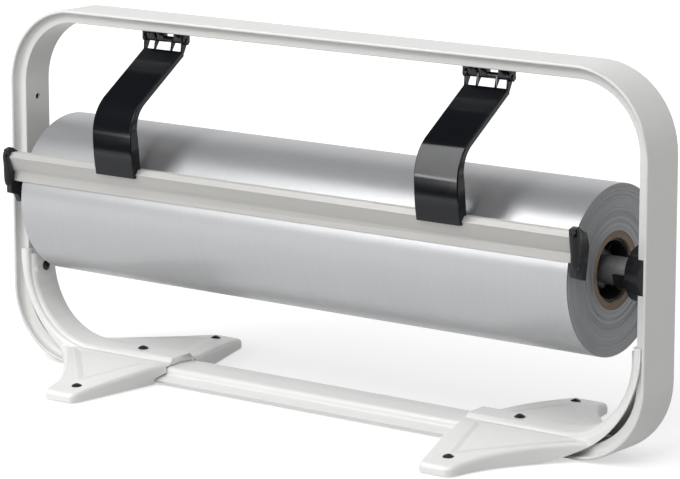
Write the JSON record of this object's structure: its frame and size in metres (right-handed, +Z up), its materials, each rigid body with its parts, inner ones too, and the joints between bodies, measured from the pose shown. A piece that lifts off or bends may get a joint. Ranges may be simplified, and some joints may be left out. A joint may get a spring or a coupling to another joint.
{
  "type": "gift wrap paper cutter",
  "caption": "Counter-top holder for a wide gift wrap roll: bent frame on two pressed feet, roll on a shaft, hinged arms carrying a cutter bar that rests on the paper.",
  "frame": {"origin": "on the table under the middle of the frame, at the pads' undersides", "axes": "+X along the roll to the right seen from the cutter bar's side, +Y to the back, away from the cutter bar, +Z up"},
  "size_m": [0.5828, 0.222, 0.2795],
  "materials": {
    "frame_paint": "satin, light warm grey",
    "foot_paint": "satin, light warm grey",
    "black_sheet": "semi-gloss black",
    "black_plastic": "fine matt black",
    "bar_metal": "drawn, satin",
    "blade_steel": "ground",
    "shaft_steel": "bright drawn",
    "silver_paper": "metallised gift wrap, satin silver",
    "cardboard": "raw brown cardboard",
    "black_screw": "blackened steel",
    "plain_steel": "zinc plated",
    "pad_rubber": "matt"
  },
  "bodies": {
    "base": {"frame": "frame_paint", "left_foot": "foot_paint", "right_foot": "foot_paint", "cross_rail": "foot_paint", "left_rail_connector": "foot_paint", "right_rail_connector": "foot_paint", "toe_screws": "black_screw", "centre_screws": "black_screw", "arm_screws": "black_screw", "screw_nuts": "plain_steel", "spacer_washers": "plain_steel", "foot_pads": "pad_rubber", "left_bearing": "black_plastic", "right_bearing": "black_plastic", "left_hinge_bracket": "black_sheet", "right_hinge_bracket": "black_sheet", "left_hinge_pin": "plain_steel", "right_hinge_pin": "plain_steel", "bracket_screws": "black_screw"},
    "cutter": {"left_arm": "black_sheet", "right_arm": "black_sheet", "cutter_bar": "bar_metal", "cutting_blade": "blade_steel", "left_end_cap": "black_plastic", "right_end_cap": "black_plastic", "tab_screws": "black_screw"},
    "roll": {"paper_roll": "silver_paper", "cardboard_core": "cardboard", "shaft": "shaft_steel", "left_core_adapter": "black_plastic", "right_core_adapter": "black_plastic", "shaft_collars": "black_plastic"}
  },
  "joints": [
    {"name": "cutter_lift", "type": "hinge", "parent": "base", "child": "cutter", "pos_m": [0, -0.002, 0.2627], "axis": [-1, 0, 0], "range_deg": [0, 50]},
    {"name": "roll_spin", "type": "hinge", "parent": "base", "child": "roll", "pos_m": [0, 0.0063, 0.134], "axis": [1, 0, 0], "continuous": true}
  ]
}
